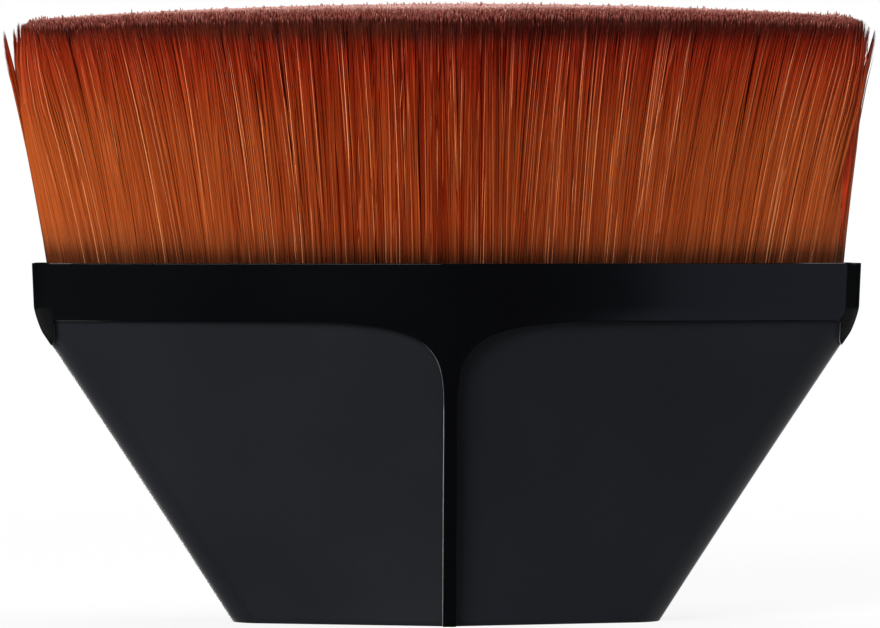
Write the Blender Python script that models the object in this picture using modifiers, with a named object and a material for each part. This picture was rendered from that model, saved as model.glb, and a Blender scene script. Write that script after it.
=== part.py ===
"""Flat-topped foundation brush with a short six-sided handle.

The handle is one hollow moulding: a collar band on top, a tapering body below it and a thin ridge down the
middle of its front and back. Each long face is scooped back from the band and the ridges as two finger panels,
whose inner top corners flare into the band. A plate closes the hollow on a ledge and a central web, a bed of
resin lies on the plate and locks into its holes, and the fibres stand in the resin from wall to wall.

Metres, +Z up, front towards -Y, origin on the surface that the brush stands on.
"""

import math
import random
from typing import NamedTuple

import bmesh
import bpy
from mathutils import Vector
from mathutils.geometry import interpolate_bezier

MM = 0.001

# Handle: half sizes of its plan at the collar's rim and at its base
RIM_HALF_WIDTH = 27.85 * MM
RIM_HALF_DEPTH = 12.0 * MM
RIM_END_HALF_DEPTH = 5.5 * MM
BASE_HALF_WIDTH = 14.45 * MM
BASE_HALF_DEPTH = 8.4 * MM
BASE_END_HALF_DEPTH = 3.75 * MM
HANDLE_HEIGHT = 24.2 * MM
COLLAR_HEIGHT = 3.85 * MM
COLLAR_DRAFT = 0.2 * MM
FLANK_HOLLOW = 0.2 * MM
SHOULDER_RUN = 0.9 * MM
END_CORNER_RADIUS = 1.6 * MM
RIDGE_CORNER_RADIUS = 4.0 * MM
INNER_CORNER_SHARE = 0.25
RIM_EDGE_RADIUS = 0.3 * MM
BASE_EDGE_RADIUS = 0.4 * MM

# Finger panels: how far they lie back, and their outline seen from the front
PANEL_DROP_AT_RIDGE = 0.85 * MM
PANEL_DROP_AT_END = 0.3 * MM
PANEL_END_INSET = 0.12 * MM
PANEL_HOLLOW = 0.35 * MM
RIDGE_WIDTH = 0.9 * MM
RIDGE_FLARE_WIDTH = 9.5 * MM
RIDGE_FLARE_HEIGHT = 5.9 * MM
FLARE_UP_SHARE = 0.68
FLARE_OUT_SHARE = 0.95
END_LAND = 1.35 * MM
END_LAND_RADIUS = 0.4 * MM

# Inside of the handle
COLLAR_WALL = 0.9 * MM
SOCKET_FLOOR_ABOVE_PANELS = 0.25 * MM
SOCKET_DRAFT = 0.15 * MM
SHELL_WALL = 1.9 * MM
BASE_WALL = 2.2 * MM
PLATE_LEDGE = 1.5 * MM
WEB_THICKNESS = 1.3 * MM
FIT_GAP = 0.3 * MM

# Root plate, its glue bead and the resin on it
PLATE_THICKNESS = 1.0 * MM
LOCK_HOLE_RADIUS = 1.2 * MM
LOCK_HOLE_PITCH = 12.0 * MM
LOCK_HOLE_COUNT = 4
RESIN_THICKNESS = 0.9 * MM
BEAD_WIDTH = 0.45 * MM
BEAD_HEIGHT = 0.45 * MM
BEAD_GAP = 0.15 * MM

# Fibre head
TIP_HEIGHT = 41.8 * MM
TIP_FLARE = 2.45 * MM
FLARE_BOW_SHARE = 0.2
CROWN_ALONG = 1.05 * MM
CROWN_ACROSS = 0.9 * MM
TIP_EDGE_DROP = 0.8 * MM
TIP_EDGE_RUN = 1.6 * MM
LOCK_COUNT = 90
POINTS_A_LOCK = 3
LOCK_GROOVE = 0.22 * MM
LOCK_TIP_DROP = 0.3 * MM
LOCK_SEED = 7
FIBRE_LEVEL_SHARES = (0.0, 0.35, 0.7, 1.0)
EDGE_RING_SHARES = (0.3, 0.65, 1.0)
CROWN_RING_SHARES = (0.75, 0.5, 0.25, 0.05)

# Fineness of the curved faces, how far a cutter runs past what it cuts, and what counts as one point
END_CORNER_STEPS = 5
RIDGE_CORNER_STEPS = 6
EDGE_STEPS = 3
FLANK_STEPS = 5
SHOULDER_STEPS = 4
FLARE_STEPS = 10
HOLE_STEPS = 20
OVERRUN = 1.0 * MM
WELD_DISTANCE = 0.005 * MM
SHARP_ANGLE = math.radians(30)

# Heights that follow from the sizes above
PANEL_TOP = HANDLE_HEIGHT - COLLAR_HEIGHT
SOCKET_FLOOR = PANEL_TOP + SOCKET_FLOOR_ABOVE_PANELS
SEAT_FLOOR = SOCKET_FLOOR - PLATE_THICKNESS - FIT_GAP
PLATE_BOTTOM = SEAT_FLOOR + FIT_GAP
PLATE_TOP = PLATE_BOTTOM + PLATE_THICKNESS
RESIN_BOTTOM = SOCKET_FLOOR + FIT_GAP
RESIN_TOP = RESIN_BOTTOM + RESIN_THICKNESS
ROOT_HEIGHT = RESIN_TOP + FIT_GAP


class Plan(NamedTuple):
    """A long hexagon with a point at front and back and a short face at each end, as half sizes."""

    width: float
    depth: float
    end_depth: float
    end_radius: float
    ridge_radius: float

    def inset(self, distance):
        """The plan that runs inside this one at that distance."""
        slope = math.atan2(self.depth - self.end_depth, self.width)
        width = self.width - distance
        depth = self.depth - distance / math.cos(slope)
        radius = max(self.end_radius - distance, self.end_radius * INNER_CORNER_SHARE)
        return Plan(width, depth, depth - width * math.tan(slope), radius, self.ridge_radius)

    def mixed(self, other, share):
        """The plan at that share of the way to another one."""
        return Plan(*(a + (b - a) * share for a, b in zip(self, other)))

    def outline(self):
        """Its outline with round corners, from the front point round by the right end."""
        w, d, e = self.width, self.depth, self.end_depth
        ridge = (self.ridge_radius, RIDGE_CORNER_STEPS)
        end = (self.end_radius, END_CORNER_STEPS)
        corners = [(0, -d), (w, -e), (w, e), (0, d), (-w, e), (-w, -e)]
        rounding = [ridge, end, end, ridge, end, end]
        points = []
        for i, (radius, steps) in enumerate(rounding):
            corner = Vector(corners[i])
            before = (Vector(corners[i - 1]) - corner).normalized()
            after = (Vector(corners[(i + 1) % len(corners)]) - corner).normalized()
            points += rounded_corner(corner, before, after, radius, steps)
        return points

    def ring(self, z):
        return [Vector((p.x, p.y, z)) for p in self.outline()]


def rounded_corner(corner, before, after, radius, steps):
    """An arc in place of a corner, from the side that comes to it to the side that leaves it."""
    half_angle = before.angle(after) / 2
    centre = corner + (before + after).normalized() * radius / math.sin(half_angle)
    first = corner + before * radius / math.tan(half_angle) - centre
    turn = math.pi - 2 * half_angle
    arc = []
    for i in range(steps + 1):
        cos = math.cos(turn * i / steps)
        sin = math.sin(turn * i / steps)
        arc.append(centre + Vector((first.x * cos - first.y * sin, first.x * sin + first.y * cos)))
    return arc


def quarter(steps):
    """Sine and cosine at even steps through a quarter turn."""
    angles = [math.pi / 2 * i / steps for i in range(steps + 1)]
    return [(math.sin(angle), math.cos(angle)) for angle in angles]


def spread(count, pitch):
    """Places along X, evenly about the middle."""
    return [(i - (count - 1) / 2) * pitch for i in range(count)]


def rim_plan():
    return Plan(RIM_HALF_WIDTH, RIM_HALF_DEPTH, RIM_END_HALF_DEPTH, END_CORNER_RADIUS, RIDGE_CORNER_RADIUS)


def base_plan():
    return Plan(BASE_HALF_WIDTH, BASE_HALF_DEPTH, BASE_END_HALF_DEPTH, END_CORNER_RADIUS, RIDGE_CORNER_RADIUS)


def collar_foot_plan():
    return rim_plan().inset(COLLAR_DRAFT)


def flank_plan(z):
    """The body's plan at a height under the collar. Its flanks are a little hollow between base and collar."""
    share = z / PANEL_TOP
    return base_plan().mixed(collar_foot_plan(), share).inset(FLANK_HOLLOW * 4 * share * (1 - share))


def panel_plan(z):
    """The plan of the scooped faces: deepest beside the ridge, and hollow between base and collar."""
    share = z / PANEL_TOP
    body = flank_plan(z)
    return body._replace(
        width=body.width - PANEL_END_INSET,
        depth=body.depth - PANEL_DROP_AT_RIDGE - PANEL_HOLLOW * 4 * share * (1 - share),
        end_depth=body.end_depth - PANEL_DROP_AT_END,
    )


def socket_plan(z):
    """The collar's inner wall, which opens a little towards the rim."""
    share = (HANDLE_HEIGHT - z) / (HANDLE_HEIGHT - SOCKET_FLOOR)
    return rim_plan().inset(COLLAR_WALL + SOCKET_DRAFT * share)


def seat_plan():
    """The recess in the socket's floor that takes the root plate."""
    return panel_plan(SEAT_FLOOR).inset(SHELL_WALL)


def bead_plan():
    """The outer edge of the glue bead, in the middle of the plate's ledge."""
    return seat_plan().inset((PLATE_LEDGE - BEAD_WIDTH) / 2)


def head_plan(z):
    """The fibre head's plan: close to the socket's wall up to the rim, then leaning out to the tips."""
    if z <= HANDLE_HEIGHT:
        return socket_plan(z).inset(FIT_GAP)
    share = (z - HANDLE_HEIGHT) / (TIP_HEIGHT - HANDLE_HEIGHT)
    lean = TIP_FLARE * ((1 - FLARE_BOW_SHARE) * share + FLARE_BOW_SHARE * share**2)
    return socket_plan(HANDLE_HEIGHT).inset(FIT_GAP - lean)


def mesh_object(name, mesh, collection):
    """An object from a bmesh, welded and with its faces turned out."""
    bmesh.ops.remove_doubles(mesh, verts=mesh.verts, dist=WELD_DISTANCE)
    bmesh.ops.recalc_face_normals(mesh, faces=mesh.faces)
    data = bpy.data.meshes.new(name)
    mesh.to_mesh(data)
    mesh.free()
    obj = bpy.data.objects.new(name, data)
    bpy.data.collections[collection].objects.link(obj)
    return obj


def loft(name, rings, collection):
    """A closed solid through rings of equal count, with the first and last ring as its end faces."""
    mesh = bmesh.new()
    rows = [[mesh.verts.new(p) for p in ring] for ring in rings]
    for low, high in zip(rows, rows[1:]):
        for i in range(len(low)):
            mesh.faces.new((low[i - 1], low[i], high[i], high[i - 1]))
    mesh.faces.new(reversed(rows[0]))
    mesh.faces.new(rows[-1])
    return mesh_object(name, mesh, collection)


def slab(name, outlines, bottom, top, collection):
    """A flat outline given thickness. A second outline inside the first is a hole."""
    curve = bpy.data.curves.new(name, "CURVE")
    curve.dimensions = "2D"
    curve.fill_mode = "BOTH"
    curve.extrude = (top - bottom) / 2
    for outline in outlines:
        spline = curve.splines.new("POLY")
        spline.points.add(len(outline) - 1)
        spline.use_cyclic_u = True
        for point, place in zip(spline.points, outline):
            point.co = (*place, 0, 1)
    drawn = bpy.data.objects.new(name, curve)
    bpy.context.scene.collection.objects.link(drawn)
    mesh = bmesh.new()
    mesh.from_mesh(bpy.data.meshes.new_from_object(evaluated(drawn)))
    bpy.data.objects.remove(drawn)
    obj = mesh_object(name, mesh, collection)
    obj.location.z = (bottom + top) / 2
    return obj


def cylinder(name, radius, x, bottom, top):
    """An upright cylinder, for a hole or a peg."""
    mesh = bmesh.new()
    bmesh.ops.create_cone(
        mesh, cap_ends=True, segments=HOLE_STEPS, radius1=radius, radius2=radius, depth=top - bottom
    )
    obj = mesh_object(name, mesh, "cutters")
    obj.location = (x, 0, (bottom + top) / 2)
    return obj


def box(name, size, centre):
    mesh = bmesh.new()
    bmesh.ops.create_cube(mesh, size=1)
    bmesh.ops.scale(mesh, vec=size, verts=mesh.verts)
    obj = mesh_object(name, mesh, "cutters")
    obj.location = centre
    return obj


def boolean(obj, other, operation="DIFFERENCE"):
    """Cuts or joins another object, which is then only a guide."""
    modifier = obj.modifiers.new(other.name, "BOOLEAN")
    modifier.operation = operation
    modifier.object = other
    other.hide_render = True
    other.display_type = "WIRE"
    return obj


def evaluated(obj):
    return obj.evaluated_get(bpy.context.evaluated_depsgraph_get())


def finished(obj, name, colour, roughness):
    """Fixes an object's modifiers into its mesh, shades it and gives it its material."""
    mesh = bpy.data.meshes.new_from_object(evaluated(obj))
    obj.modifiers.clear()
    obj.data = mesh
    mesh.shade_smooth()
    mesh.set_sharp_from_angle(angle=SHARP_ANGLE)
    made = bpy.data.materials.new(name)
    made.use_nodes = True
    shader = made.node_tree.nodes["Principled BSDF"]
    shader.inputs["Base Color"].default_value = (*colour, 1)
    shader.inputs["Roughness"].default_value = roughness
    shader.inputs["Metallic"].default_value = 0
    mesh.materials.clear()
    mesh.materials.append(made)


def rounded_base(plan_at):
    """Rings round the base's edge, for a plan that changes with height."""
    rings = []
    for sin, cos in quarter(EDGE_STEPS):
        z = BASE_EDGE_RADIUS * (1 - cos)
        rings.append(plan_at(z).inset(BASE_EDGE_RADIUS * (1 - sin)).ring(z))
    return rings


def even_levels(bottom, top, steps):
    """Heights above the bottom one, at even steps up to the top one."""
    return [bottom + (top - bottom) * (i + 1) / steps for i in range(steps)]


def handle_body():
    """The outside of the handle before its panels are scooped: base, flanks, shoulder, collar and rim."""
    shoulder_bottom = PANEL_TOP - SHOULDER_RUN
    shoulder_top = PANEL_TOP + SHOULDER_RUN
    rings = rounded_base(flank_plan)
    rings += [flank_plan(z).ring(z) for z in even_levels(BASE_EDGE_RADIUS, shoulder_bottom, FLANK_STEPS)]
    low = flank_plan(shoulder_bottom)
    middle = collar_foot_plan()
    high = middle.mixed(rim_plan(), SHOULDER_RUN / COLLAR_HEIGHT)
    for i, z in enumerate(even_levels(shoulder_bottom, shoulder_top, SHOULDER_STEPS)):
        share = (i + 1) / SHOULDER_STEPS
        rings.append(low.mixed(middle, share).mixed(middle.mixed(high, share), share).ring(z))
    for sin, cos in quarter(EDGE_STEPS):
        z = HANDLE_HEIGHT - RIM_EDGE_RADIUS * (1 - sin)
        rings.append(rim_plan().inset(RIM_EDGE_RADIUS * (1 - cos)).ring(z))
    return loft("handle_shell", rings, "foundation_brush")


def panel_outline():
    """One panel seen from the front: up beside the ridge, out along the flare and band, down at the end."""
    ridge = RIDGE_WIDTH / 2
    end = RIM_HALF_WIDTH - END_LAND
    flare_foot = PANEL_TOP - RIDGE_FLARE_HEIGHT
    flare_end = ridge + RIDGE_FLARE_WIDTH
    flare = interpolate_bezier(
        Vector((ridge, flare_foot)),
        Vector((ridge, flare_foot + RIDGE_FLARE_HEIGHT * FLARE_UP_SHARE)),
        Vector((flare_end - RIDGE_FLARE_WIDTH * FLARE_OUT_SHARE, PANEL_TOP)),
        Vector((flare_end, PANEL_TOP)),
        FLARE_STEPS + 1,
    )
    points = [Vector((ridge, -OVERRUN)), *flare]
    for sin, cos in quarter(EDGE_STEPS):
        x = end - END_LAND_RADIUS * (1 - sin)
        points.append(Vector((x, PANEL_TOP - END_LAND_RADIUS * (1 - cos))))
    points.append(Vector((end, -OVERRUN)))
    return points


def panel_cutter():
    """What is taken off the body to leave the band, the ridges and the end lands proud of the panels."""
    reach = RIM_HALF_DEPTH + OVERRUN
    cutter = slab("panel_cutter", [panel_outline()], -reach, reach, "cutters")
    cutter.rotation_euler.x = math.pi / 2
    mirror = cutter.modifiers.new("other_side", "MIRROR")
    mirror.merge_threshold = WELD_DISTANCE
    rings = [panel_plan(0).inset(BASE_EDGE_RADIUS).ring(-2 * OVERRUN)]
    rings += rounded_base(panel_plan)
    rings += [panel_plan(z).ring(z) for z in even_levels(BASE_EDGE_RADIUS, PANEL_TOP, FLANK_STEPS)]
    rings.append(panel_plan(PANEL_TOP).ring(PANEL_TOP + OVERRUN))
    return boolean(cutter, loft("panel_faces", rings, "cutters"))


def core_cutter():
    """The hollow of the body, with the web that joins front and back left standing in it."""
    throat = seat_plan().inset(PLATE_LEDGE)
    top = SEAT_FLOOR + PLATE_THICKNESS / 2
    rings = [
        panel_plan(BASE_WALL).inset(SHELL_WALL).ring(BASE_WALL),
        throat.ring(SEAT_FLOOR),
        throat.ring(top),
    ]
    height = top + OVERRUN
    web = box("web", (WEB_THICKNESS, 2 * RIM_HALF_DEPTH, height), (0, 0, height / 2))
    return boolean(loft("core_cutter", rings, "cutters"), web)


def socket_cutter():
    """The plate's seat and the socket over it."""
    seat = seat_plan()
    rings = [
        seat.ring(SEAT_FLOOR),
        seat.ring(SOCKET_FLOOR),
        socket_plan(SOCKET_FLOOR).ring(SOCKET_FLOOR),
        socket_plan(HANDLE_HEIGHT).ring(HANDLE_HEIGHT),
        socket_plan(HANDLE_HEIGHT).ring(HANDLE_HEIGHT + OVERRUN),
    ]
    return loft("socket_cutter", rings, "cutters")


def bead_groove():
    """The channel in the ledge that the glue bead lies in."""
    outer = bead_plan().inset(-BEAD_GAP)
    inner = bead_plan().inset(BEAD_WIDTH + BEAD_GAP)
    outlines = [outer.outline(), inner.outline()]
    return slab("bead_groove", outlines, SEAT_FLOOR - BEAD_HEIGHT, SEAT_FLOOR + PLATE_THICKNESS / 2, "cutters")


def handle_shell():
    shell = handle_body()
    for cutter in (panel_cutter(), core_cutter(), socket_cutter(), bead_groove()):
        boolean(shell, cutter)
    finished(shell, "gloss_black_abs", (0.006, 0.007, 0.009), 0.12)


def plate_glue_bead():
    bottom = SEAT_FLOOR - BEAD_HEIGHT + BEAD_GAP
    outlines = [bead_plan().outline(), bead_plan().inset(BEAD_WIDTH).outline()]
    bead = slab("plate_glue_bead", outlines, bottom, bottom + BEAD_HEIGHT, "foundation_brush")
    finished(bead, "clear_glue", (0.75, 0.72, 0.62), 0.3)


def root_plate():
    """The plate that closes the handle. Its holes let the resin run through and lock."""
    outline = seat_plan().inset(FIT_GAP).outline()
    plate = slab("root_plate", [outline], PLATE_BOTTOM, PLATE_TOP, "foundation_brush")
    for i, x in enumerate(spread(LOCK_HOLE_COUNT, LOCK_HOLE_PITCH)):
        name = f"lock_hole_{i + 1}"
        boolean(plate, cylinder(name, LOCK_HOLE_RADIUS, x, PLATE_BOTTOM - OVERRUN, PLATE_TOP + OVERRUN))
    finished(plate, "matt_black_abs", (0.012, 0.012, 0.013), 0.5)


def resin_bed():
    """The cured resin over the plate, with a peg down each of its holes."""
    outline = socket_plan(SOCKET_FLOOR).inset(FIT_GAP).outline()
    bed = slab("resin_bed", [outline], RESIN_BOTTOM, RESIN_TOP, "foundation_brush")
    middle = (RESIN_BOTTOM + RESIN_TOP) / 2
    for i, x in enumerate(spread(LOCK_HOLE_COUNT, LOCK_HOLE_PITCH)):
        peg = cylinder(f"lock_peg_{i + 1}", LOCK_HOLE_RADIUS - FIT_GAP, x, PLATE_BOTTOM, middle)
        boolean(bed, peg, "UNION")
    finished(bed, "amber_resin", (0.32, 0.17, 0.05), 0.25)


def even_points(points, count):
    """Points at equal steps along a closed outline, each with the direction out of it."""
    closed = points + points[:1]
    lengths = [(b - a).length for a, b in zip(closed, closed[1:])]
    step = sum(lengths) / count
    placed = []
    side = 0
    walked = 0.0
    for i in range(count):
        while walked + lengths[side] < i * step:
            walked += lengths[side]
            side += 1
        along = (closed[side + 1] - closed[side]).normalized()
        placed.append((closed[side] + along * (i * step - walked), Vector((along.y, -along.x))))
    return placed


def bristle_head():
    """The fibres as one body. Its sides are grooved between the locks, and its top is a low dome of tips."""
    draw = random.Random(LOCK_SEED)
    grooves = [LOCK_GROOVE * draw.uniform(0.5, 1.3) for _ in range(LOCK_COUNT)]
    drops = [LOCK_TIP_DROP * draw.uniform(0.0, 1.0) for _ in range(LOCK_COUNT)]
    point_count = POINTS_A_LOCK * LOCK_COUNT
    tips = head_plan(TIP_HEIGHT)

    def dome_drop(place):
        return CROWN_ALONG * (place.x / tips.width) ** 2 + CROWN_ACROSS * (place.y / tips.depth) ** 2

    edge_height = TIP_HEIGHT - TIP_EDGE_DROP
    levels = [ROOT_HEIGHT]
    levels += [HANDLE_HEIGHT + (edge_height - HANDLE_HEIGHT) * share for share in FIBRE_LEVEL_SHARES]
    rings = []
    for z in levels:
        height_share = max(z - HANDLE_HEIGHT, 0) / (edge_height - HANDLE_HEIGHT)
        ring = []
        for i, (place, out) in enumerate(even_points(head_plan(z).outline(), point_count)):
            lock = i // POINTS_A_LOCK
            if i % POINTS_A_LOCK == 0:
                place = place - out * grooves[lock]
            drop = (dome_drop(place) + drops[lock]) * height_share
            ring.append(Vector((place.x, place.y, z - drop)))
        rings.append(ring)
    for share in EDGE_RING_SHARES:
        ring = []
        for i, (place, _) in enumerate(even_points(tips.inset(TIP_EDGE_RUN * share).outline(), point_count)):
            drop = dome_drop(place) + (TIP_EDGE_DROP + drops[i // POINTS_A_LOCK]) * (1 - share) ** 2
            ring.append(Vector((place.x, place.y, TIP_HEIGHT - drop)))
        rings.append(ring)
    for share in CROWN_RING_SHARES:
        ring = []
        for place in rings[len(levels) + len(EDGE_RING_SHARES) - 1]:
            inner = Vector((place.x * share, place.y * share))
            ring.append(Vector((inner.x, inner.y, TIP_HEIGHT - dome_drop(inner))))
        rings.append(ring)
    head = loft("bristle_head", rings, "foundation_brush")
    finished(head, "dyed_fibre", (0.36, 0.08, 0.015), 0.45)


def main():
    for obj in list(bpy.data.objects):
        bpy.data.objects.remove(obj)
    for name in ("foundation_brush", "cutters"):
        bpy.context.scene.collection.children.link(bpy.data.collections.new(name))
    handle_shell()
    plate_glue_bead()
    root_plate()
    resin_bed()
    bristle_head()


main()
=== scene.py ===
"""Looks of the foundation brush: the polished handle moulding, its dyed fibres and a small white studio."""

import math

import bmesh
import bpy
import numpy as np
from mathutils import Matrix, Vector


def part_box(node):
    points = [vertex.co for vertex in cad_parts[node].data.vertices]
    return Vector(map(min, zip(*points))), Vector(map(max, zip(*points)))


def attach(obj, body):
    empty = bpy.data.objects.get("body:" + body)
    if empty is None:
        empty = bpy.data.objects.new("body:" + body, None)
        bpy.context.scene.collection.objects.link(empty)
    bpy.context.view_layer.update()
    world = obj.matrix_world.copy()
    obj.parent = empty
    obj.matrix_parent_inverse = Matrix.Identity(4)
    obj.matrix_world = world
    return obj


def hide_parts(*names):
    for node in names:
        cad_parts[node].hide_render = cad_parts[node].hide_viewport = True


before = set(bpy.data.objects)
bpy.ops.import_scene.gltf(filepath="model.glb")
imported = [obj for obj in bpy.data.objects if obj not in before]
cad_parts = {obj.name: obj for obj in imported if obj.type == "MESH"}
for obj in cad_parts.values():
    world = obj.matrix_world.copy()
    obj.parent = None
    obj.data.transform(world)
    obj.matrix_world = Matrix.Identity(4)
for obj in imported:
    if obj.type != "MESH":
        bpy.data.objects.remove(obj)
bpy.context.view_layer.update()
bpy.ops.object.select_all(action="DESELECT")

MM = 0.001
CLOSE = 0.01 * MM
MERGE_DISTANCE = 0.05 * MM
FINE_MERGE = 0.002 * MM
MERGE_ANGLE = math.radians(0.25)
SHARP_ANGLE = math.radians(28)

# Angles in radians, past which an edge counts as a corner of the plan, or as one of the rim
CORNER_ANGLE = 0.8
RIM_ANGLE = 0.5

# Handle, read from the frame where the frame has it
HANDLE_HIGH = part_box("handle_shell")[1]
RIM_HALF_WIDTH = HANDLE_HIGH.x
RIM_HALF_DEPTH = 12.0 * MM
RIM_END_HALF_DEPTH = 5.5 * MM
RIM_HEIGHT = HANDLE_HIGH.z
BASE_HALF_WIDTH = 14.45 * MM
BASE_HALF_DEPTH = 8.4 * MM
BASE_END_HALF_DEPTH = 3.75 * MM
PANEL_TOP = 20.35 * MM
COLLAR_DRAFT = 0.16 * MM
FLANK_HOLLOW = 0.08 * MM
BODY_LEVEL_SHARES = (1.0, 0.8, 0.6, 0.4, 0.2, 0.0)
SHOULDER_RUN = 0.9 * MM
END_CORNER_REACH = 1.27 * MM
PANEL_CORNER_REACH = 1.6 * MM
RIDGE_CORNER_REACH = 0.92 * MM
RIM_EDGE = 0.05 * MM
BASE_EDGE = 0.35 * MM
FINE_EDGE = 0.028 * MM

# Finger panels
PANEL_DROP_AT_RIDGE = 0.85 * MM
PANEL_DROP_AT_END = 0.3 * MM
PANEL_END_INSET = 0.03 * MM
PANEL_HOLLOW = 0.35 * MM
RIDGE_WIDTH = 0.9 * MM
RIDGE_FLARE_WIDTH = 9.5 * MM
RIDGE_FLARE_HEIGHT = 5.9 * MM
FLARE_UP_SHARE = 0.68
FLARE_OUT_SHARE = 0.95
END_LAND = 1.52 * MM
END_LAND_HEIGHT = 1.25 * MM
END_TURN_HEIGHT = 1.0 * MM
PANEL_OVERREACH = 0.6 * MM
PANEL_FOOT = -0.5 * MM
PANEL_LEVEL_SHARES = (1.1, 0.98, 0.86, 0.74, 0.62, 0.5, 0.38, 0.26, 0.14, 0.02, -0.1)
PANEL_CURVE_STEPS = 24

# Inside of the handle
COLLAR_WALL = 0.9 * MM
SHELL_WALL = 1.9 * MM
BASE_WALL = 2.2 * MM
SOCKET_FLOOR = 20.6 * MM
SEAT_FLOOR = 19.3 * MM
PLATE_LEDGE = 1.5 * MM
INNER_CORNER_REACH = 0.4 * MM
OVERRUN = 1 * MM

# Fibre head
HEAD_LOW, HEAD_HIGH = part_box("bristle_head")
ROOT_HEIGHT = HEAD_LOW.z
TIP_HEIGHT = HEAD_HIGH.z
ROOT_HALF_WIDTH = 26.53 * MM
ROOT_HALF_DEPTH = 10.8 * MM
ROOT_END_HALF_DEPTH = 4.6 * MM
TIP_FLARE = 2.72 * MM
TIP_LEAN_LEFT = 0.54 * MM
LEAN_LEFT_POWER = 1.3
FLARE_BOW_SHARE = 0.3
CROWN_ALONG = 1.05 * MM
CROWN_ACROSS = 0.9 * MM
TIP_EDGE_DROP = 0.8 * MM
TIP_EDGE_RUN = 1.6 * MM
SHARP_END_RUN = 3.0 * MM
SHARP_END_SHARE = 0.88
TRIM_LOW = 0.12 * MM
TRIM_TILT = 0.17 * MM
HEAD_END_ROUND = 1.4 * MM
HEAD_RIDGE_ROUND = 3.0 * MM
HEAD_CORNER_POINTS = 9
LOOK_AHEAD_SHARE = 0.002

# At the ends the upper fibres stand straight, and only a few tufts keep leaning out
END_TRIM_LEFT = 1.35 * MM
END_TRIM_RIGHT = 0.95 * MM
END_TRIM_RUN = 1.5 * MM
END_TRIM_START = 0.66

# Single fibres: three-sided, in rings that stand closer together towards the tip
FIBRE_SIDES = 3
FIBRE_RADIUS = 0.053 * MM
FIBRE_TIP_RADIUS = 0.014 * MM
TAPER_SHARE = 0.2
TAPER_POWER = 0.7
SIDE_FIBRE_COUNT = 19000
SIDE_FIBRE_DEPTH = 0.6 * MM
DEPTH_POWER = 1.3
OUTERMOST_SHARE = 0.08
SIDE_SEGMENTS = 6
RING_HEIGHTS = np.linspace(0, 1, SIDE_SEGMENTS + 1) ** 0.85
SIDE_THICKNESS_SHARES = (0.8, 1.15)
EASED_NORMAL_SHARE = 0.36

# The middle of the head, and how far below the tips the dark dip starts and is full there. Its streaks
# are wider than a real filament, so that they show
CORE_INSET = 0.5 * MM
CORE_TOP_DROP = 0.8 * MM
CORE_CELL = 2.5 * MM
CORE_DIP_START = 4.2 * MM
CORE_DIP_FULL = 2.2 * MM
STREAK_WIDTH = 0.2 * MM
STREAK_LENGTH = 6 * MM

# The blunt tips in the middle of the head
TIP_SPACING = 0.13 * MM
TIP_FIBRE_LENGTH = 1.0 * MM
TIP_FIBRE_INSET = 0.35 * MM
TIP_THICKNESS_SHARES = (0.9, 1.3)
TIP_TAPER_SHARES = (1.3, 0.7)
BLUNT_END = 0.7
MIDDLE_JITTER = 0.09 * MM
MIDDLE_JITTER_LIMIT = 0.5 * MM
TALL_SHARE = 0.12
TALL_REACH = 0.045 * MM
TALLEST = 0.3 * MM
END_TALL_GAIN = 2
END_DROP_SHARE = 0.5
# How far up their colours the tips at the head's edge reach, so that they stop short of the painted light at
# the top
LIT_TOP_REACH_AT_EDGE = 0.84
TIP_TONE_LOW = 0.05
TIP_TONE_SPREAD = 0.22

# Each fibre takes its tone from a column of its map; the palest few, painted highlights on single fibres, have
# the last quarter of the columns
TINT_COLUMNS = 64
COLUMN_SIDES = (0.15, 0.5, 0.85)
HIGHLIT_FROM = 0.75
TONE_LIMIT = 0.999
HIGHLIT_TONES = (0.78, TONE_LIMIT)
HIGHLIT_SHARE = 0.026
HIGHLIT_THINNER_SHARE = 0.62
DIP_RISE = 0.022
DIP_SCATTER = 0.03
CAP_TILT = 0.02
POINT_RADIUS = 0.01

# Tones of the side fibres: by lock, drifting at random round the head, lighter towards the ends and on the left
# as painted light, darker in the middle parting and on deeper fibres as painted shade, and lighter on loose
# fibres as painted highlights
TONE_LOW = 0.02
TONE_HIGHEST = 0.74
TONE_SPREAD = 0.14
TONE_BY_LOCK = 0.05
TONE_DRIFT = 0.04
TONE_DRIFT_SPACING = 2.5 * MM
# Painted light: how much lighter the side fibres get towards the left and the right end
LIGHT_TONE_AT_LEFT = 0.5
LIGHT_TONE_LEFT_POWER = 1.6
LIGHT_TONE_AT_RIGHT = 0.37
SHADE_IN_PARTING = 0.07
SHADE_BY_DEPTH = 0.1
LIGHT_ON_LOOSE = 0.2

# How the side fibres stray from straight
PERIMETER = 137 * MM
LOCK_COUNT = 220
LOCK_GATHER_SHARE = 0.4
LOCK_GATHER_LIMIT = 0.22 * MM
LOCK_SWAY = 0.17 * MM
LOCK_LIFT = 0.05 * MM
LIFT_LIMIT = 0.35 * MM
WIDE_SWAY = 0.4 * MM
WIDE_SWAY_SPACING = 3.0 * MM
FINE_SWAY = 0.18 * MM
FINE_SWAY_SPACING = 0.9 * MM
FIBRE_SWAY = 0.14 * MM
SWAY_POWER = 1.4
FIBRE_CURL = 0.05 * MM
FIBRE_LIFT = 0.05 * MM
LOOSE_SHARE = 0.04
LOOSE_SWAY = 0.6 * MM
TIP_JITTER = 0.12 * MM
TIP_JITTER_LIMIT = 1.2 * MM
END_TIP_JITTER = 0.2 * MM
STILL_ZONE = 3 * MM
STILL_LEAST = 0.12
PARTING = 1.6 * MM

# A fibre counts as one of an end by how far it faces sideways, and such fibres lift less
END_FACING_GAIN = 2
END_FACING_LOSS = 0.8
END_LIFT_LOSS = 0.7

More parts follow.
